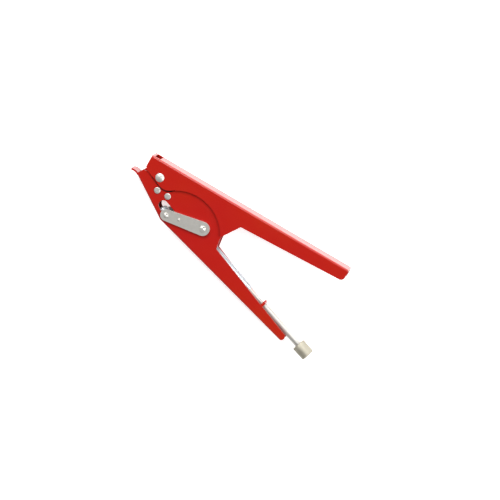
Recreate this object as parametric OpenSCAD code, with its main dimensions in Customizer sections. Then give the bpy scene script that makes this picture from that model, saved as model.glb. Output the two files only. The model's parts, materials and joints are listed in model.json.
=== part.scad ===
// Cable-tie tensioning and cutting tool with two sheet-metal handles, lying on its side.
// The tool is drawn round its main pivot: X runs along the main handle, Y rises to the main
// handle's top face and Z is the thickness. placed() then stands it on Z = 0, centred.

/* [Sheet metal] */
// Thickness of both handles' sheet
sheet = 1.5; // [1.2:0.1:2]
// Outer radius of the bends in the sheet
bend_r = 1.6; // [1.3:0.1:2]
// Outside width of the front handle, which sits inside the main handle
front_w = 15; // [13:0.5:18]
// Side gap between plates that slide past each other
side_gap = 0.3; // [0.2:0.05:0.5]

/* [Main handle] */
// Length from the pivot to the handle's end
main_len = 172.5; // [144:0.5:207]
// Length of the nose ahead of the pivot
nose_len = 14.4; // [13.6:0.1:17]
// Height of the top face over the pivot
top_h = 13.1; // [12.6:0.1:15.7]
// Height of the nose's front edge
nose_front_h = 10.5; // [9.5:0.1:11.2]
// Slope of the nose's lower edge
nose_slope = 23.8; // [20:0.1:26]
// Depth of the grip where it leaves the head
grip_h = 14.6; // [12:0.1:17.6]
// Depth of the grip at its end
grip_end_h = 10.3; // [8.5:0.1:12.4]
// Distance from the pivot to where the grip starts
grip_start = 78; // [74:0.5:90]
// Length along the handle of the slot that the tie goes in
tie_slot_l = 5.2; // [4.3:0.1:6.3]
// Width of the slot that the tie goes in
tie_slot_w = 14.4; // [10:0.2:15]
// Metal left ahead of the tie slot
tie_slot_edge = 2.2; // [1.6:0.1:3]

/* [Round head] */
// Radius of the round head that the main handle is cut out for
head_r = 36.9; // [36.2:0.1:37.6]
// Distance of the head's centre along the handle from the pivot
head_x = 34.8; // [34:0.1:35.6]
// Distance of the head's centre below the pivot
head_y = 34.5; // [34.1:0.1:35.8]
// How far the front handle's head reaches in under the main handle
head_lap = 0.6; // [0.3:0.1:0.8]
// Rounding between the nose and the head
nose_fillet = 10; // [8:0.5:11]
// Visible gap between the two handles at the nose
nose_gap = 1.3; // [1:0.1:1.6]
// Direction from the head's centre to the main handle's inner corner
head_end_a = 27.5; // [24:0.5:31]

/* [Front handle] */
// Distance of the web's corner along the handle from the pivot
corner_x = 16.8; // [16:0.1:17.6]
// Distance of the web's corner below the pivot
corner_y = 30.7; // [30.2:0.1:31.6]
// Length of the web from its corner up to the nose
nose_web_l = 42.8; // [40:0.1:45]
// Slope of the web along the nose
nose_web_a = 33.6; // [32.8:0.1:34.4]
// Length of the web from its corner to the grip's tip
front_len = 141.5; // [117.5:0.5:170]
// Slope of the web along the grip
grip_web_a = 15.1; // [14.5:0.1:15.8]
// Depth of the channel where the open edge starts
front_depth = 16.3; // [15.3:0.1:17.3]
// Distance from the web's corner to where the open edge starts
open_start = 49.8; // [48:0.1:52]
// Radius of the grip's tip
tip_r = 3.1; // [2.5:0.1:3.8]
// Bend radius of the flared lip
lip_r = 8.5; // [7:0.1:10.3]
// Angle that the lip bends out through
lip_a = 48; // [40:1:58]
// Rounding of the lip's corner on the screw-head side
lip_corner_r = 1.4; // [1.1:0.1:1.7]
// Rounding of the lip's corner on the nut side
lip_far_r = 4.5; // [3.7:0.1:5.4]
// Length of the opening that the cut tail leaves by
tail_exit_l = 10; // [8:0.5:12]
// Width of the opening that the cut tail leaves by
tail_exit_w = 9.6; // [8:0.2:10]

/* [Main pivot] */
// Radius of the pivot screw
pivot_r = 2.5; // [2:0.1:3]
// Radius of the pivot screw's head
pivot_head_r = 3.8; // [3.4:0.1:4.5]
// Height of the domed screw head
pivot_head_h = 1.1; // [0.9:0.1:1.4]
// Wall of the bronze bush
bush_wall = 1; // [0.8:0.1:1.2]
// Width across the nut's flats
nut_af = 8; // [7:0.1:9]
// Height of the nut
nut_h = 2.6; // [2:0.1:3.2]
// Radius of the nose block round the pivot
block_r = 6.8; // [6:0.1:7.2]
// Distance of the front rivet along the handle from the pivot
rivet_x = 3.2; // [2.6:0.1:3.8]
// Distance of the rear rivet along the handle from the pivot
rear_rivet_x = 13.1; // [12.4:0.1:13.8]
// Distance of both rivets below the pivot
rivet_y = 10.5; // [10:0.1:11]
// Shank radius of the two nose rivets
rivet_r = 1.6; // [1.3:0.1:1.9]
// Head radius of the two nose rivets
rivet_head_r = 2.7; // [2.2:0.1:3.2]
// Head height of the two nose rivets
rivet_head_h = 0.9; // [0.7:0.1:1.1]
// Thickness of the cutter blade
blade_t = 1.5; // [1.2:0.1:1.8]

/* [Linkage] */
// Full squeeze of the main handle, in degrees
squeeze = 11.5; // [9.6:0.1:11.5]
// Travel of the carriage over a full squeeze
stroke = 6; // [5:0.1:6.2]
// Swing of the links over a full squeeze, in degrees
link_swing = 4; // [3:0.1:4.2]
// Place of the drive pin along the handle from the pivot
drive_x = 51.4; // [50.7:0.1:51.9]
// Place of the drive pin below the pivot
drive_y = 18.9; // [18.5:0.1:19.4]
// Distance between the links' two pins
link_len = 32.4; // [31.8:0.1:33]
// Slope of the links at rest
link_a = 9.9; // [9.4:0.1:10.4]
// Thickness of the links
link_t = 1.6; // [1.3:0.1:1.9]
// Radius of the links' ends at the drive pin
link_drive_r = 5.8; // [5:0.1:6]
// Radius of the links' ends at the gripper
link_grip_r = 4.8; // [4:0.1:5.2]
// Radius of the drive pin
drive_r = 2; // [1.7:0.1:2.2]
// Radius of the gripper pin
grip_pin_r = 1.5; // [1.3:0.1:1.7]
// Radius of the hardened bush that rides in the cam slot
cam_bush_r = 2.6; // [2.5:0.1:3]
// Thickness of the cam plate
cam_t = 3; // [2.5:0.1:3.6]
// Width of the gripper pawl
pawl_w = 8; // [7:0.1:8.6]
// Reach of the toothed pawl ahead of its pin
pawl_reach = 7; // [6:0.1:7.5]

/* [Tension adjuster] */
// Slope of the adjuster's axis
rod_a = 18.5; // [18.1:0.1:18.9]
// Distance from the drive pin down to the adjuster's axis
rod_drop = 6; // [5.4:0.1:6.6]
// Radius of the adjuster rod
rod_r = 1.8; // [1.5:0.1:2]
// Outer radius of the tension spring
spring_r = 3.7; // [3.3:0.1:4.2]
// Wire thickness of the tension spring
wire = 1.15; // [0.9:0.05:1.3]
// Length of the tension spring
spring_l = 49.2; // [42:0.2:52]
// Distance from the drive pin to the bracket's wall, along the rod
bracket_t = 78; // [74:0.5:82]
// Thickness of the bracket's wall
bracket_wall = 2.4; // [2:0.1:2.9]
// Outer radius of the sleeve
sleeve_r = 3; // [2.7:0.1:3.4]
// Length of the sleeve between bracket and knob
sleeve_l = 42.2; // [35:0.2:51]
// Radius of the knob
knob_r = 5.75; // [4.8:0.05:6.9]
// Length of the knob
knob_l = 12.3; // [11:0.1:14.8]
// Number of flutes in the knob's knurl
knob_flutes = 60; // [40:1:72]

/* [Hidden] */
$fn = 64;
fit = 0.02;                 // radial clearance of seats within one body
run = 0.05;                 // radial clearance of running fits
far = 400;                  // longer than anything it cuts
lap = 0.1;                  // how far a cutter runs past a face

function unit(v) = v / norm(v);
function polar(r, a) = [r * cos(a), r * sin(a)];
function turned(p, a) = [p[0] * cos(a) - p[1] * sin(a), p[0] * sin(a) + p[1] * cos(a)];

// Widths, from the middle plane
front_z = front_w / 2;
front_in = front_z - sheet;
main_in = front_z + side_gap;
main_z = main_in + sheet;
link_z0 = front_z + side_gap;
link_z1 = link_z0 + link_t;
pin_head_h = 0.5;
mark_r = 0.5;               // punch mark in each head
mark_way = polar(1, 75);    // side of the head that it is on

// Main handle
slope_n = polar(1, 90 - nose_slope);
slope_t = polar(1, -nose_slope);
nose_low = [-nose_len, top_h - nose_front_h];
nose_edge = nose_low + [1.4, -1.7];
head_c = [head_x, -head_y];
fillet_h = (nose_edge - head_c) * slope_n + nose_fillet;
fillet_c = head_c + fillet_h * slope_n
    - sqrt(pow(head_r + nose_fillet, 2) - pow(fillet_h, 2)) * slope_t;
fillet_a = fillet_c - nose_fillet * slope_n;
fillet_b = fillet_c + nose_fillet * unit(head_c - fillet_c);
head_corner = head_c + polar(head_r, head_end_a);
grip_low = [grip_start, top_h - grip_h];
end_low = [main_len, top_h - grip_end_h];
end_top = [main_len, top_h];
tie_x0 = -nose_len + tie_slot_edge;
tie_x1 = tie_x0 + tie_slot_l;

// Front handle
corner = [corner_x, -corner_y];
web1_t = polar(1, 180 - nose_web_a);
web1_n = polar(1, 90 - nose_web_a);
web2_t = polar(1, -grip_web_a);
web2_n = polar(1, 90 - grip_web_a);
web_top = corner + nose_web_l * web1_t;
tip_c = corner + (front_len - tip_r) * web2_t + tip_r * web2_n;
open_low = corner + open_start * web2_t + front_depth * web2_n;
lip_from = web_top - 1.5 * web1_t;
lip_c = lip_from - lip_r * web1_n;
lip_end = lip_c + polar(lip_r + sheet / 2, 90 - nose_web_a + lip_a);

// Linkage at rest
drive = [drive_x, -drive_y];
link_dir = polar(1, 180 + link_a);
grip_pin = drive + link_len * link_dir;
slide_dir = polar(1, 180 - rod_a);
drive_end = drive + stroke * slide_dir;
grip_pin_end = drive_end + turned(link_len * link_dir, -link_swing);
stud_r = 0.8;
stud = grip_pin - 11.4 * link_dir;
pawl_base = (grip_pin - corner) * web1_n - sheet - 0.45;
window_top = grip_pin_end + [-0.1, 1.6];
window_end = grip_pin + [4.9, 2.9];

// Nose block, which holds the pivot and is riveted between the front plates
rivets = [[rivet_x, -rivet_y], [rear_rivet_x, -rivet_y]];
rivet_wall = 3.2;
blade_y = block_r + 1.6;

// Adjuster, measured from the foot of the drive pin on its axis
rod_dir = polar(1, -rod_a);
rod_n = polar(1, 90 - rod_a);
rod_foot = drive - rod_drop * rod_n;
clevis_t = 9.8;
clevis_face = 12.2;
spring_t0 = clevis_face + 0.3;
spring_t1 = spring_t0 + spring_l;
spring_in = spring_r - wire;
washer_t = 0.6;
washer_t0 = bracket_t + bracket_wall + run;
sleeve_t0 = washer_t0 + washer_t + run;
knob_t0 = sleeve_t0 + sleeve_l;
knob_t1 = knob_t0 + knob_l;
sleeve_in = rod_r + 0.09;
sleeve_depth = 8.5;
bracket_rise = 3.4;         // height of the bracket's wall over the axis
tab_w = 4.4;                // width of the tab on the bracket's wall

// Overall box, which sets where the tool stands
x_low = min(lip_end[0], web_top[0]) - 0.02;
x_high = max(main_len, (rod_foot + knob_t1 * rod_dir + knob_r * rod_n)[0]);
y_low = min((rod_foot + knob_t1 * rod_dir - knob_r * rod_n)[1], tip_c[1] - tip_r);
nut_z = -main_z - nut_h;
screw_end = nut_z - 0.4;

red = [0.78, 0.14, 0.12];
plated = [0.83, 0.82, 0.79];
steel = [0.6, 0.61, 0.63];
dark_steel = [0.25, 0.25, 0.27];
bronze = [0.72, 0.53, 0.3];
nickel = [0.8, 0.77, 0.68];

module placed()
    translate([-(x_low + x_high) / 2, -(y_low + top_h) / 2, -screw_end]) children();

module at(p, z = 0) translate([p[0], p[1], z]) children();

module plate(z0, z1) translate([0, 0, z0]) linear_extrude(z1 - z0) children();

module both_sides() {
    children();
    mirror([0, 0, 1]) children();
}

module disc(p, r, z0, z1) at(p, z0) cylinder(h = z1 - z0, r = r);

// Points along an arc from angle a0 to a1, about one for every 4 degrees
function arc(c, r, a0, a1) =
    let (n = max(1, ceil(abs(a1 - a0) / 4)))
    [for (i = [0:n]) c + polar(r, a0 + (a1 - a0) * i / n)];

// Direction of the outside of the straight tangent from one disc to the next
function tangent_a(c1, r1, c2, r2) =
    atan2(c2[1] - c1[1], c2[0] - c1[0]) - acos((r1 - r2) / norm(c2 - c1));

// Outline round discs given anticlockwise, joined by their tangents
function round_outline(c, r) = [
    for (i = [0:len(c) - 1])
        let (p = (i + len(c) - 1) % len(c),
             q = (i + 1) % len(c),
             a0 = tangent_a(c[p], r[p], c[i], r[i]),
             span = ((tangent_a(c[i], r[i], c[q], r[q]) - a0) % 360 + 360) % 360)
            each arc(c[i], r[i], a0, a0 + span)];

// Arc that rounds the corner at v between its neighbours a and b
function corner_arc(v, a, b, r) =
    let (u = unit(a - v),
         w = unit(b - v),
         half = acos(u * w) / 2,
         c = v + unit(u + w) * r / sin(half),
         from = v + u * r / tan(half) - c,
         start = atan2(from[1], from[0]),
         side = sign(u[1] * w[0] - u[0] * w[1]))
    arc(c, r, start, start + side * (180 - 2 * half));

// Low dome standing on Z = 0
module dome(r, h) {
    ball = (r * r + h * h) / (2 * h);
    intersection() {
        translate([0, 0, h - ball]) sphere(ball);
        cylinder(h = h + lap, r = r);
    }
}

// Flat head with a broken edge, standing on Z = 0
module flat_head(r, h) {
    cylinder(h = h * 0.6, r = r);
    translate([0, 0, h * 0.6]) cylinder(h = h * 0.4, r1 = r, r2 = r - h * 0.4);
}

// Washer or bush round a point
module ring(p, r_out, r_in, z0, z1) {
    difference() {
        disc(p, r_out, z0, z1);
        disc(p, r_in, z0 - lap, z1 + lap);
    }
}

// Pin through the whole width, peened over a link on each side, with a punch mark in each head
module peened_pin(p, r, head_r) {
    difference() {
        union() {
            disc(p, r, -link_z1 - 0.1, link_z1 + 0.1);
            both_sides() at(p, link_z1 + run) flat_head(head_r, pin_head_h);
        }
        both_sides() at(p + mark_way * head_r / 2, link_z1 + run)
            cylinder(h = 1, r = mark_r);
    }
}

// Carries children from the adjuster's axis: their X runs down the rod
module on_rod(t, n = 0) at(rod_foot + t * rod_dir + n * rod_n) rotate([0, 0, -rod_a]) children();

module rod_disc(t0, t1, r) on_rod(t0) rotate([0, 90, 0]) cylinder(h = t1 - t0, r = r);

// Section of a folded channel: its web lies below Y = 0, with round bends at both sides
module fold_section(half_w) {
    translate([bend_r, -half_w]) square([far, 2 * half_w]);
    translate([0, -half_w + bend_r]) square([far, 2 * (half_w - bend_r)]);
    for (s = [-1, 1]) translate([bend_r, s * (half_w - bend_r)]) circle(bend_r);
}

// Solid bar over a web line, with the bends rounded
module fold_bar(p, a, half_w) {
    at(p) rotate([0, 0, a]) translate([-far / 2, 0, 0]) rotate([90, 0, 90])
        linear_extrude(far) fold_section(half_w);
}

module main_profile() {
    to_head = head_c - fillet_c;
    polygon(concat(
        [[-nose_len, top_h + 2], nose_low, nose_edge],
        arc(fillet_c, nose_fillet, -90 - nose_slope, atan2(to_head[1], to_head[0])),
        arc(head_c, head_r, 180 + atan2(to_head[1], to_head[0]) - 3, head_end_a),
        [grip_low],
        corner_arc(end_low, grip_low, end_top, 3.6),
        corner_arc(end_top, end_low, [0, top_h], 1.6),
        [[main_len - 1.6, top_h + 2]]));
}

module main_channel() color(red) placed() {
    difference() {
        intersection() {
            plate(-main_z, main_z) main_profile();
            mirror([0, 1, 0]) fold_bar([0, -top_h], 0, main_z);
        }
        translate([-far / 2, top_h - sheet - far, -main_in]) cube([far, far, 2 * main_in]);
        translate([tie_x0, top_h - sheet - lap, -tie_slot_w / 2])
            cube([tie_slot_l, sheet + 2 * lap, tie_slot_w]);
        disc([0, 0], pivot_r + fit, -main_z - lap, main_z + lap);
    }
}

module front_profile() {
    edge_r = nose_fillet + nose_gap;
    lap_r = head_r + head_lap;
    reach = head_r + nose_fillet;
    to_head = unit(head_c - fillet_c);
    along = (edge_r * edge_r - lap_r * lap_r + reach * reach) / (2 * reach);
    meet = fillet_c + along * to_head
        + sqrt(edge_r * edge_r - along * along) * turned(to_head, 90);
    from_fillet = meet - fillet_c;
    from_head = meet - head_c;
    open_dir = unit(tip_c - open_low);
    polygon(concat(
        [web_top - 2 * web1_n, web_top + 2.2 * web1_n,
         nose_edge + [-1.8, -2.05], nose_edge + [1.8, -2]],
        arc(fillet_c, edge_r, -90 - nose_slope, atan2(from_fillet[1], from_fillet[0])),
        arc(head_c, lap_r, atan2(from_head[1], from_head[0]) - 2, head_end_a + 1),
        [open_low],
        arc(tip_c, tip_r, atan2(open_dir[1], open_dir[0]) + 90, -90 - grip_web_a),
        [tip_c - (tip_r + 2) * web2_n, corner - 2 * web2_n]));
}

// Window that the gripper pin moves in
module window() {
    polygon(round_outline([window_top, grip_pin + [0.3, 0], window_end],
                          [4, grip_pin_r + 1.1, 3]));
}

module lip() {
    intersection() {
        at(lip_c, -front_z) rotate([0, 0, 90 - nose_web_a - 1]) rotate_extrude(angle = lip_a + 1)
            translate([lip_r, 0]) square([sheet, front_w]);
        rotate([90, 0, 0]) translate([0, 0, -far / 2]) linear_extrude(far)
            polygon(concat(
                [[lip_end[0] + far, -front_z - lap], [lip_end[0] + far, front_z + lap]],
                arc([lip_end[0] + lip_corner_r, front_z + lap - lip_corner_r], lip_corner_r,
                    90, 180),
                arc([lip_end[0] + lip_far_r, -front_z - lap + lip_far_r], lip_far_r, 180, 270)));
    }
}

module front_channel() color(red) placed() {
    inner_corner = corner + sheet * (web1_n + web2_n) / (1 + web1_n * web2_n);
    difference() {
        union() {
            intersection() {
                plate(-front_z, front_z) front_profile();
                fold_bar(corner, -nose_web_a, front_z);
                fold_bar(corner, -grip_web_a, front_z);
            }
            lip();
        }
        plate(-front_in, front_in) polygon([
            inner_corner, inner_corner + far * web2_t, [far, far], [-far, far],
            inner_corner + far * web1_t]);
        plate(-front_z - lap, front_z + lap) window();
        plate(-front_z - lap, front_z + lap)
            polygon(round_outline([drive - 0.2 * slide_dir, drive_end + 0.2 * slide_dir],
                                  [drive_r + 0.15, drive_r + 0.15]));
        for (p = rivets) disc(p, rivet_r + fit, -front_z - lap, front_z + lap);
        at(corner) rotate([0, 0, -grip_web_a]) translate([3, -lap, -tail_exit_w / 2])
            cube([tail_exit_l, sheet + 2 * lap, tail_exit_w]);
    }
}

module nose_block() color(dark_steel) placed() {
    difference() {
        plate(-front_in + run, front_in - run) {
            polygon(round_outline([[0, 0], rivets[0], rivets[1]],
                                  [block_r, rivet_wall, rivet_wall]));
            translate([-5.6, 0]) square([9.2, blade_y]);
        }
        disc([0, 0], pivot_r + run + bush_wall + fit, -front_z, front_z);
        for (p = rivets) disc(p, rivet_r + fit, -front_z, front_z);
        for (s = [-1, 1]) translate([0, blade_y + lap, s * 3.2]) rotate([90, 0, 0])
            cylinder(h = 3.6 + lap, r = 1 + fit);
    }
}

module nose_rivets() color(plated) placed()
    for (p = rivets) {
        disc(p, rivet_r, -front_z - 0.01, front_z + 0.01);
        both_sides() at(p, front_z) flat_head(rivet_head_r, rivet_head_h);
    }

module pivot_bush() color(bronze) placed()
    ring([0, 0], pivot_r + run + bush_wall, pivot_r + run, -front_in + run, front_in - run);

module cutter_blade() color(steel) placed() {
    edge = -block_r - 0.6;
    difference() {
        translate([0, 0, -5]) linear_extrude(10)
            polygon([[edge, blade_y + blade_t - 0.2], [edge + 3.2, blade_y], [3.6, blade_y],
                     [3.6, blade_y + blade_t], [edge, blade_y + blade_t]]);
        for (s = [-1, 1]) translate([0, blade_y + blade_t + lap, s * 3.2]) rotate([90, 0, 0])
            cylinder(h = blade_t + 2 * lap, r = 1 + fit);
    }
}

module blade_screws() color(dark_steel) placed()
    for (s = [-1, 1]) translate([0, 0, s * 3.2]) rotate([-90, 0, 0]) {
        translate([0, 0, blade_y - 3.4]) cylinder(h = 3.4 + blade_t + 0.3, r = 1);
        translate([0, 0, blade_y + blade_t]) cylinder(h = 0.6, r1 = 1.9, r2 = 1.5);
    }

// Wall across the front handle that the sleeve bears on, with a foot on the web and a top tab
module rod_bracket() color(red) placed() {
    low = (rod_foot + bracket_t * rod_dir - corner) * web2_n;
    down = (low - sheet) / cos(rod_a - grip_web_a) - 0.4;
    half = front_in - run;
    difference() {
        union() {
            on_rod(bracket_t) translate([0, -down, -half])
                cube([bracket_wall, down + bracket_rise, 2 * half]);
            on_rod(bracket_t) translate([0, bracket_rise - lap, -tab_w / 2])
                cube([bracket_wall * 0.6, 1.1, tab_w]);
            on_rod(bracket_t) translate([-7, -down, -half]) cube([7.5, sheet, 2 * half]);
        }
        rod_disc(bracket_t - lap, bracket_t + bracket_wall + lap, rod_r + 0.3);
    }
}

// Point of the cam slot's middle line when the handle is squeezed through a degrees
function cam_point(a) = turned(drive + stroke * a / squeeze * slide_dir, a);
cam_steps = 12;
cam_line = [for (i = [0:cam_steps]) cam_point(squeeze * i / cam_steps)];
cam_side = [for (i = [0:cam_steps])
    unit(turned(cam_line[min(i + 1, cam_steps)] - cam_line[max(i - 1, 0)], 90))];
cam_half = cam_bush_r + 0.06;

module cam_slot() {
    polygon(concat(
        [for (i = [0:cam_steps]) cam_line[i] + cam_half * cam_side[i]],
        [for (i = [cam_steps:-1:0]) cam_line[i] - cam_half * cam_side[i]]));
    translate(cam_line[0]) circle(cam_half);
    translate(cam_line[cam_steps]) circle(cam_half);
}

module cam_plate() color(steel) placed() {
    last = cam_line[cam_steps];
    wall = cam_half + 2.6;
    difference() {
        plate(-cam_t / 2, cam_t / 2) {
            polygon([[last[0] - 12, top_h - sheet], last - [wall + 1, 0], drive - [wall, 0],
                     drive + [wall - 0.6, 0], last + [wall + 0.2, 0],
                     [last[0] + 7, top_h - sheet]]);
            translate(drive + [-0.3, 0]) circle(wall - 0.3);
        }
        plate(-cam_t, cam_t) cam_slot();
    }
}

module pivot_screw() color(plated) placed() {
    translate([0, 0, screw_end]) cylinder(h = main_z - screw_end + 0.01, r = pivot_r);
    difference() {
        translate([0, 0, main_z]) dome(pivot_head_r, pivot_head_h);
        at(mark_way * pivot_head_r / 2.2, main_z + 0.2) cylinder(h = pivot_head_h, r = mark_r + 0.1);
    }
}

module pivot_nut() color(plated) placed()
    difference() {
        intersection() {
            translate([0, 0, nut_z]) cylinder(h = nut_h, d = nut_af / cos(30), $fn = 6);
            translate([0, 0, nut_z]) cylinder(h = nut_h, r1 = nut_af / 2 - 0.1,
                                              r2 = nut_af / 2 + nut_h);
        }
        disc([0, 0], pivot_r + fit, nut_z - lap, -main_z + lap);
    }

module pivot_washers() color(steel) placed()
    both_sides() ring([0, 0], pivot_r + 2.2, pivot_r + fit, front_in, main_in - run);

module drive_pin() color(plated) placed() peened_pin(drive, drive_r, drive_r + 0.7);

module cam_bush() color(steel) placed()
    ring(drive, cam_bush_r, drive_r + fit, -cam_t / 2 - 0.1, cam_t / 2 + 0.1);

ear_z0 = cam_t / 2 + 0.2;
ear_z1 = ear_z0 + 2;

module drive_spacers() color(steel) placed()
    both_sides() ring(drive, drive_r + 1.2, drive_r + fit, ear_z1, front_in - 0.15);

// Fork round the cam plate, with a stem that the tension spring is wound onto
module spring_clevis() color(steel) placed() {
    ear_r = drive_r + 2.2;
    difference() {
        union() {
            both_sides() plate(ear_z0, ear_z1) {
                translate(drive) circle(ear_r);
                polygon([drive + ear_r * rod_n, drive - ear_r * rod_n - 1.2 * rod_n,
                         rod_foot + (clevis_t + 1) * rod_dir - 3.4 * rod_n,
                         rod_foot + (clevis_t + 1) * rod_dir + 4.4 * rod_n]);
            }
            on_rod(clevis_t) translate([0, -3.4, -ear_z1])
                cube([clevis_face - clevis_t, 7.8, 2 * ear_z1]);
            rod_disc(clevis_face - 0.5, clevis_face + 7, spring_in - 0.08);
        }
        disc(drive, drive_r + fit, -far / 2, far / 2);
    }
}

module link(z0, z1) {
    difference() {
        plate(z0, z1) polygon(round_outline([drive, grip_pin], [link_drive_r, link_grip_r]));
        disc(drive, drive_r + run, z0 - lap, z1 + lap);
        disc(grip_pin, grip_pin_r + fit, z0 - lap, z1 + lap);
        disc(stud, stud_r + fit, z0 - lap, z1 + lap);
    }
}

module near_link() color(plated) placed() link(link_z0, link_z1);

module far_link() color(plated) placed() link(-link_z1, -link_z0);

module gripper_pin() color(plated) placed() peened_pin(grip_pin, grip_pin_r, grip_pin_r + 0.6);

module link_studs() color(plated) placed()
    both_sides() {
        disc(stud, stud_r, link_z0, link_z1 + 0.01);
        at(stud, link_z1) flat_head(stud_r + 0.3, 0.3);
    }

// Toothed pawl: its toothed underside faces the web along the nose
module gripper_pawl() color(steel) placed() {
    depth = 0.55;
    teeth = 6;
    tooth = pawl_reach / teeth;
    back = grip_pin_r + 1.2;
    difference() {
        at(grip_pin, -pawl_w / 2) rotate([0, 0, 180 - nose_web_a]) mirror([0, 1, 0])
            linear_extrude(pawl_w) polygon(concat(
                [[1 - back, -pawl_base + depth], [-back, 1 - back], [-back, back - 1.2],
                 [1.2 - back, back], [1, back], [pawl_reach - 1.2, 1.5], [pawl_reach, 0.4]],
                [for (i = [0:teeth - 1]) each [
                    [pawl_reach - i * tooth, -pawl_base],
                    [pawl_reach - (i + 0.8) * tooth, -pawl_base + depth]]]));
        disc(grip_pin, grip_pin_r + run, -front_z, front_z);
    }
}

module pawl_springs() color(steel) placed()
    both_sides() ring(grip_pin, grip_pin_r + 1.1, grip_pin_r + 0.2,
                      pawl_w / 2 + 0.15, front_in - 0.2);

// Close-wound spring as one body of revolution, with a rib for each coil
module tension_spring() color(steel) placed() {
    coils = round(spring_l / (wire * 1.06));
    pitch = spring_l / coils;
    on_rod(spring_t0) rotate([0, 90, 0]) rotate_extrude() polygon(concat(
        [[spring_in, 0]],
        [for (i = [0:coils - 1]) each [[spring_r - wire * 0.3, pitch * i],
                                       [spring_r, pitch * (i + 0.3)],
                                       [spring_r, pitch * (i + 0.7)]]],
        [[spring_r - wire * 0.3, spring_l], [spring_in, spring_l]]));
}

module adjuster_rod() color(plated) placed()
    rod_disc(spring_t1 - 6, knob_t0 + 6, rod_r);

module spring_plug() color(steel) placed()
    difference() {
        union() {
            rod_disc(spring_t1 - 8, spring_t1 + 0.2, spring_in - 0.08);
            rod_disc(spring_t1 + 0.1, spring_t1 + 1.2, spring_in + 0.3);
        }
        rod_disc(spring_t1 - 6 - lap, spring_t1 + 2, rod_r + fit);
    }

module thrust_washer() color(plated) placed()
    difference() {
        rod_disc(washer_t0, washer_t0 + washer_t, sleeve_r + 0.7);
        rod_disc(washer_t0 - lap, washer_t0 + washer_t + lap, rod_r + 0.3);
    }

module adjuster_sleeve() color(plated) placed()
    difference() {
        rod_disc(sleeve_t0, knob_t0 + sleeve_depth, sleeve_r);
        rod_disc(sleeve_t0 - lap, knob_t0 + sleeve_depth + lap, sleeve_in);
    }

module adjuster_knob() color(nickel) placed() {
    flute = 0.14;
    chamfer = 0.8;
    difference() {
        intersection() {
            on_rod(knob_t0) rotate([0, 90, 0]) linear_extrude(knob_l) polygon([
                for (i = [0:2 * knob_flutes - 1])
                    polar(knob_r - flute * (i % 2), 180 * i / knob_flutes)]);
            on_rod(knob_t0) rotate([0, 90, 0]) rotate_extrude() polygon([
                [0, 0], [knob_r - chamfer * 0.4, 0], [knob_r + lap, chamfer * 0.6],
                [knob_r + lap, knob_l - chamfer], [knob_r - chamfer, knob_l], [0, knob_l]]);
        }
        rod_disc(knob_t0 - lap, knob_t0 + sleeve_depth + 0.2, sleeve_r + fit);
        on_rod(knob_t0 + 4) mirror([0, 0, 1]) cylinder(h = far, r = 1.2 + fit);
    }
}

module knob_screw() color(dark_steel) placed()
    on_rod(knob_t0 + 4) mirror([0, 0, 1]) difference() {
        translate([0, 0, sleeve_r]) cylinder(h = knob_r - sleeve_r - 0.3, r = 1.2);
        translate([0, 0, knob_r - 1.3]) cylinder(h = 2, r = 0.65, $fn = 6);
    }

front_channel();
nose_block();
nose_rivets();
pivot_bush();
cutter_blade();
blade_screws();
rod_bracket();
main_channel();
cam_plate();
pivot_screw();
pivot_nut();
pivot_washers();
drive_pin();
cam_bush();
drive_spacers();
spring_clevis();
near_link();
far_link();
gripper_pin();
link_studs();
gripper_pawl();
pawl_springs();
tension_spring();
adjuster_rod();
spring_plug();
thrust_washer();
adjuster_sleeve();
adjuster_knob();
knob_screw();
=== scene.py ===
"""Looks of the cable tie tensioning tool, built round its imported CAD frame."""

import json
import math

import bmesh
import bpy
from mathutils import Matrix, Vector


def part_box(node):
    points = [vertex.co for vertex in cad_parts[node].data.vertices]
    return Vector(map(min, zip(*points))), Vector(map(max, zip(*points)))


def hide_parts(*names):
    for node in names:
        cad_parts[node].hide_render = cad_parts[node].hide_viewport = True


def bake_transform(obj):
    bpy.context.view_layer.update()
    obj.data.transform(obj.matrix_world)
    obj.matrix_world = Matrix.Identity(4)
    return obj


MM = 0.001
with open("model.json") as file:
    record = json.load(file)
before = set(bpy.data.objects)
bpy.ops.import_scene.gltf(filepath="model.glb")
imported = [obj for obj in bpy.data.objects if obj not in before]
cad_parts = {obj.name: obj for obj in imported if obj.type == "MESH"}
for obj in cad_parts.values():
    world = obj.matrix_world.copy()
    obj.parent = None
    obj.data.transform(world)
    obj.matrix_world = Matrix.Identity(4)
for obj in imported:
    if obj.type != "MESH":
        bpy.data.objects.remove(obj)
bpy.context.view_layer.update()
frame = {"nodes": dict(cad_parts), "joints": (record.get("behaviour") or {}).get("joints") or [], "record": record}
nodes = frame["nodes"]


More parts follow.
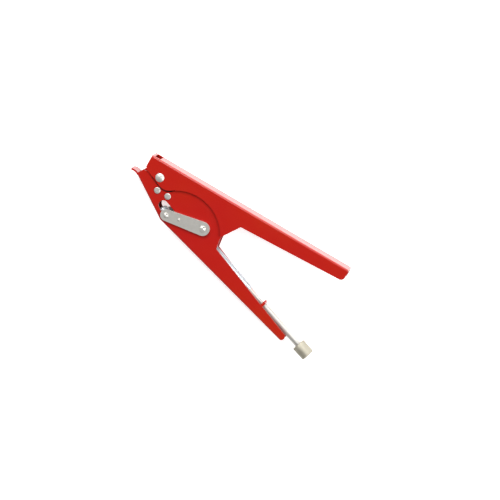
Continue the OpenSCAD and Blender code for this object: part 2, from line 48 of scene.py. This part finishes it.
# ---------------------------------------------------------------- shader helper
class Shader:
    """A Principled material that is built up one node at a time."""

    def __init__(self, name, base, metallic=0.0, roughness=0.4):
        self.mat = bpy.data.materials.new(name)
        self.mat.use_nodes = True
        self.tree = self.mat.node_tree
        self.bsdf = self.tree.nodes["Principled BSDF"]
        self.set("Base Color", (*base, 1.0))
        self.set("Metallic", metallic)
        self.set("Roughness", roughness)
        self.coords = self.tree.nodes.new("ShaderNodeTexCoord").outputs["Object"]

    def set(self, socket, value):
        self.bsdf.inputs[socket].default_value = value

    def link(self, a, b):
        self.tree.links.new(a, b)

    def mapped(self, scale, rotation=(0, 0, 0)):
        node = self.tree.nodes.new("ShaderNodeMapping")
        node.inputs["Scale"].default_value = scale
        node.inputs["Rotation"].default_value = rotation
        self.link(self.coords, node.inputs["Vector"])
        return node.outputs["Vector"]

    def noise(self, scale, detail=2.0, vector=None, rough=0.5):
        node = self.tree.nodes.new("ShaderNodeTexNoise")
        node.inputs["Scale"].default_value = scale
        node.inputs["Detail"].default_value = detail
        node.inputs["Roughness"].default_value = rough
        self.link(vector or self.coords, node.inputs["Vector"])
        return node.outputs["Fac"]

    def ramp(self, fac, stops):
        node = self.tree.nodes.new("ShaderNodeValToRGB")
        first, last = node.color_ramp.elements
        first.position, first.color = stops[0][0], (*stops[0][1], 1)
        last.position, last.color = stops[-1][0], (*stops[-1][1], 1)
        for position, color in stops[1:-1]:
            node.color_ramp.elements.new(position).color = (*color, 1)
        self.link(fac, node.inputs["Fac"])
        return node.outputs["Color"]

    def spread(self, fac, low, high):
        node = self.tree.nodes.new("ShaderNodeMapRange")
        node.inputs["To Min"].default_value = low
        node.inputs["To Max"].default_value = high
        self.link(fac, node.inputs["Value"])
        return node.outputs["Result"]

    def mix(self, fac, a, b):
        node = self.tree.nodes.new("ShaderNodeMix")
        node.data_type = "RGBA"
        for socket, value in ((node.inputs[0], fac), (node.inputs[6], a), (node.inputs[7], b)):
            if isinstance(value, bpy.types.NodeSocket):
                self.link(value, socket)
            else:
                socket.default_value = value
        return node.outputs[2]

    def bump(self, height, distance, strength=1.0, onto=None):
        node = self.tree.nodes.new("ShaderNodeBump")
        node.inputs["Distance"].default_value = distance
        node.inputs["Strength"].default_value = strength
        self.link(height, node.inputs["Height"])
        if onto is not None:
            self.link(onto, node.inputs["Normal"])
        return node.outputs["Normal"]

    def put(self, socket, output):
        self.link(output, self.bsdf.inputs[socket])


# ---------------------------------------------------------------- materials
def red_enamel():
    """Glossy stoved enamel: slight orange peel and a slow drift from red to orange-red."""
    m = Shader("red_enamel", (0.355, 0.006, 0.0028), roughness=0.3)
    m.put("Base Color", m.ramp(m.noise(14, 2), [
        (0.3, (0.355, 0.0055, 0.0042)), (0.55, (0.365, 0.0080, 0.0026)),
        (0.75, (0.370, 0.0160, 0.0010))]))
    m.put("Roughness", m.spread(m.noise(160, 3), 0.26, 0.34))
    m.set("Coat Weight", 0.3)
    m.set("Coat Roughness", 0.15)
    peel = m.bump(m.noise(700, 1), 0.00001, 0.4)
    m.put("Normal", m.bump(m.noise(60, 1), 0.0001, 0.1, peel))
    return m.mat


def plated_steel():
    """Zinc-plated steel: warm light grey, faint mottling and rolling marks."""
    m = Shader("plated_steel", (0.66, 0.64, 0.60), metallic=0.75, roughness=0.42)
    grain = m.noise(1.0, 4, m.mapped((90, 1400, 1400), (0, 0, 0.16)), 0.6)
    m.put("Base Color", m.mix(m.spread(m.noise(350, 4), 0.0, 1.0),
                              (0.60, 0.585, 0.545, 1), (0.73, 0.71, 0.665, 1)))
    m.put("Roughness", m.spread(grain, 0.34, 0.52))
    m.put("Normal", m.bump(grain, 0.00003, 0.4))
    return m.mat


def bright_steel():
    """Bright drawn spring steel."""
    m = Shader("bright_steel", (0.66, 0.70, 0.73), metallic=0.6, roughness=0.36)
    m.put("Roughness", m.spread(m.noise(600, 3), 0.3, 0.42))
    m.put("Base Color", m.mix(m.noise(260, 3), (0.60, 0.64, 0.67, 1), (0.72, 0.76, 0.79, 1)))
    return m.mat


def black_steel():
    """Oil-blackened tool steel."""
    m = Shader("black_steel", (0.035, 0.034, 0.036), metallic=0.7, roughness=0.38)
    m.put("Roughness", m.spread(m.noise(420, 4), 0.3, 0.5))
    m.put("Base Color", m.mix(m.noise(120, 3), (0.025, 0.025, 0.027, 1), (0.06, 0.055, 0.052, 1)))
    return m.mat


def bush_bronze():
    """Sintered bronze with fine pores."""
    m = Shader("bush_bronze", (0.50, 0.31, 0.13), metallic=0.9, roughness=0.4)
    m.put("Base Color", m.ramp(m.noise(1500, 2), [
        (0.3, (0.28, 0.16, 0.07)), (0.45, (0.50, 0.31, 0.13)), (0.8, (0.58, 0.38, 0.18))]))
    m.put("Normal", m.bump(m.noise(1500, 2), 0.00003, 0.5))
    return m.mat


def nickel():
    """Warm satin nickel with faint mottling and a fine random grain."""
    m = Shader("nickel", (0.42, 0.39, 0.31), metallic=0.6, roughness=0.45)
    m.put("Base Color", m.mix(m.noise(240, 4), (0.37, 0.345, 0.27, 1), (0.46, 0.43, 0.35, 1)))
    m.put("Roughness", m.spread(m.noise(700, 3), 0.38, 0.55))
    m.put("Normal", m.bump(m.noise(900, 3), 0.00002, 0.5))
    return m.mat


MAKERS = {
    "red_enamel": red_enamel,
    "plated_steel": plated_steel,
    "bright_steel": bright_steel,
    "black_steel": black_steel,
    "bush_bronze": bush_bronze,
    "nickel": nickel,
}
materials = {slot: make() for slot, make in MAKERS.items()}


# ---------------------------------------------------------------- CAD nodes
WELD_MM = 0.002
FLAT_ANGLE = math.radians(0.4)
EDGE_ANGLE = math.radians(32)


def dress(obj, material, bevel_mm):
    """Gives a CAD node its material, softly broken edges and smooth round faces."""
    obj.data.materials.clear()
    obj.data.materials.append(material)
    weld = obj.modifiers.new("weld", "WELD")
    weld.merge_threshold = WELD_MM * MM
    if bevel_mm:
        flat = obj.modifiers.new("flat", "DECIMATE")
        flat.decimate_type = "DISSOLVE"
        flat.angle_limit = FLAT_ANGLE
        bevel = obj.modifiers.new("edge", "BEVEL")
        bevel.width = bevel_mm * MM
        bevel.segments = 2
        bevel.limit_method = "ANGLE"
        bevel.angle_limit = EDGE_ANGLE
    obj.data.polygons.foreach_set("use_smooth", [True] * len(obj.data.polygons))
    normals = obj.modifiers.new("normals", "WEIGHTED_NORMAL")
    normals.keep_sharp = True
    normals.weight = 60


BEVELS = {
    "front_channel": 0.22, "main_channel": 0.22, "rod_bracket": 0.2, "near_link": 0.18,
    "far_link": 0.18, "nose_block": 0.25, "adjuster_sleeve": 0.15, "thrust_washer": 0.08,
    "pivot_washers": 0.1, "pivot_nut": 0.12, "spring_clevis": 0.2, "cam_plate": 0.15,
}
slot_of = {s["node"]: s["material_slot"] for s in frame["record"]["subparts"]}
for name, obj in nodes.items():
    dress(obj, materials[slot_of[name]], BEVELS.get(name, 0))


# ---------------------------------------------------------------- spring
joint = {j["name"]: j for j in frame["joints"]}
rod_axis = Vector(joint["knob_turn"]["axis"]).normalized()
rod_point = Vector(joint["knob_turn"]["pos_m"])


def rod_span(name):
    """Nearest and farthest reach of a CAD node along the adjuster's axis."""
    along = [(v.co - rod_point).dot(rod_axis) for v in nodes[name].data.vertices]
    return min(along), max(along)


def rod_radius(name):
    """Widest distance of a CAD node from the adjuster's axis."""
    off = [v.co - rod_point for v in nodes[name].data.vertices]
    return max((o - rod_axis * o.dot(rod_axis)).length for o in off)


def tube(name, path, radius, sides):
    """A closed tube along a path, kept upright by carrying its frame from ring to ring."""
    mesh = bmesh.new()
    rings = []
    side = (path[1] - path[0]).orthogonal().normalized()
    for i, p in enumerate(path):
        ahead = (path[min(i + 1, len(path) - 1)] - path[max(i - 1, 0)]).normalized()
        side = (side - ahead * side.dot(ahead)).normalized()
        other = ahead.cross(side)
        rings.append([
            mesh.verts.new(p + radius * (math.cos(a) * side + math.sin(a) * other))
            for a in (2 * math.pi * k / sides for k in range(sides))])
    for low, high in zip(rings, rings[1:]):
        for k in range(sides):
            n = (k + 1) % sides
            mesh.faces.new((low[k], low[n], high[n], high[k]))
    mesh.faces.new(list(reversed(rings[0])))
    mesh.faces.new(rings[-1])
    mesh.normal_update()
    data = bpy.data.meshes.new(name)
    mesh.to_mesh(data)
    mesh.free()
    for face in data.polygons:
        face.use_smooth = len(face.vertices) == 4
    obj = bpy.data.objects.new(name, data)
    bpy.context.scene.collection.objects.link(obj)
    return obj


WIRE_R = 0.56 * MM
COIL_PITCH = 2.12 * WIRE_R
STEPS_PER_TURN = 22
WIRE_SIDES = 8


def tension_spring():
    """Close-wound coil in place of the CAD's ribbed sleeve, built as a front half and a rear half that meet at the
    middle turn."""
    start, end = rod_span("tension_spring")
    coil_r = rod_radius("tension_spring") - WIRE_R
    length = end - start - 2 * WIRE_R
    turns = int(length / COIL_PITCH)
    pitch = length / turns
    up = Vector((0, 0, 1))
    across = rod_axis.cross(up)
    path = []
    for i in range(turns * STEPS_PER_TURN + 1):
        a = 2 * math.pi * i / STEPS_PER_TURN
        path.append(rod_point + rod_axis * (start + WIRE_R + pitch * i / STEPS_PER_TURN)
                    + coil_r * (math.cos(a) * up + math.sin(a) * across))
    half = turns // 2 * STEPS_PER_TURN
    for name, part, body, moving_end in (
            ("tension_spring_coil", path[:half + 1], "carriage", start),
            ("tension_spring_coil_end", path[half:], "tension_rod", end)):
        obj = tube(name, part, WIRE_R, WIRE_SIDES)
        obj.data.materials.append(materials["bright_steel"])
        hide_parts("tension_spring")
        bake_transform(obj)


tension_spring()


# ---------------------------------------------------------------- floor, light and camera
FLOOR_HALF = 3.0


def floor():
    """Plain pale floor that glows a little, so that the shadows on it stay faint."""
    mesh = bmesh.new()
    bmesh.ops.create_grid(mesh, x_segments=2, y_segments=2, size=FLOOR_HALF)
    data = bpy.data.meshes.new("floor")
    mesh.to_mesh(data)
    mesh.free()
    obj = bpy.data.objects.new("floor", data)
    bpy.context.scene.collection.objects.link(obj)
    m = Shader("pale_floor", (0.93, 0.93, 0.93), roughness=0.9)
    m.set("Specular IOR Level", 0.1)
    m.set("Emission Color", (1, 1, 1, 1))
    m.set("Emission Strength", 0.6)
    data.materials.append(m.mat)


def area_light(name, place, size, power):
    """Round white area light aimed at the middle of the tool."""
    light = bpy.data.lights.new(name, "AREA")
    light.shape, light.size, light.energy = "DISK", size, power
    obj = bpy.data.objects.new(name, light)
    obj.location = place
    obj.rotation_euler = (-Vector(place)).to_track_quat("-Z", "Y").to_euler()
    bpy.context.scene.collection.objects.link(obj)


def studio():
    """White walls, dimmer on the -Y side, and a dark ceiling, so flat plates keep their colour."""
    world = bpy.data.worlds.new("studio")
    world.use_nodes = True
    tree = world.node_tree
    coords = tree.nodes.new("ShaderNodeTexCoord")
    split = tree.nodes.new("ShaderNodeSeparateXYZ")
    ramp = tree.nodes.new("ShaderNodeValToRGB")
    low, high = ramp.color_ramp.elements
    low.position, low.color = 0.70, (1, 1, 1, 1)
    high.position, high.color = 0.86, (0.10, 0.10, 0.10, 1)
    tree.links.new(coords.outputs["Generated"], split.inputs["Vector"])
    tree.links.new(split.outputs["Z"], ramp.inputs["Fac"])
    back = tree.nodes["Background"]
    tree.links.new(ramp.outputs["Color"], back.inputs["Color"])
    shade = tree.nodes.new("ShaderNodeMapRange")
    shade.inputs["From Min"].default_value = -0.5
    shade.inputs["From Max"].default_value = 0.3
    shade.inputs["To Min"].default_value = 0.25
    shade.inputs["To Max"].default_value = 1.15
    tree.links.new(split.outputs["Y"], shade.inputs["Value"])
    tree.links.new(shade.outputs["Result"], back.inputs["Strength"])
    bpy.context.scene.world = world


CAMERA_TOWARD = (0.062, 0.207, 0.976)
CAMERA_RIGHT = (0.8593, 0.5114, 0)
CAMERA_DISTANCE = 2.6
VIEW_WIDTH = 0.41
PIVOT_LEFT = 0.1810
PIVOT_ABOVE = 0.1442
SENSOR_MM = 36


def camera():
    """Long lens, 12 degrees off square to the side plates, rolled so the handles point down right.

    The pivot screw's head sits left of and above the picture's middle, by PIVOT_LEFT and
    PIVOT_ABOVE of the view's width."""
    pivot = Vector(joint["squeeze"]["pos_m"])
    head = Vector((pivot.x, pivot.y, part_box("pivot_screw")[1].z))
    toward = Vector(CAMERA_TOWARD).normalized()
    right = Vector(CAMERA_RIGHT)
    right = (right - toward * right.dot(toward)).normalized()
    up = toward.cross(right)
    centre = head + (right * PIVOT_LEFT - up * PIVOT_ABOVE) * VIEW_WIDTH
    data = bpy.data.cameras.new("camera")
    data.sensor_width = SENSOR_MM
    data.lens = SENSOR_MM * CAMERA_DISTANCE / VIEW_WIDTH
    data.clip_end = 20
    obj = bpy.data.objects.new("camera", data)
    obj.matrix_world = Matrix.Translation(centre + toward * CAMERA_DISTANCE) @ Matrix(
        (right, up, toward)).transposed().to_4x4()
    bpy.context.scene.collection.objects.link(obj)
    bpy.context.scene.camera = obj


floor()
area_light("key", (-0.7, 1.1, 1.3), 1.3, 34)
area_light("fill", (1.3, 0.3, 1.2), 1.4, 19)
camera()
studio()
bpy.context.scene.view_settings.view_transform = "Standard"
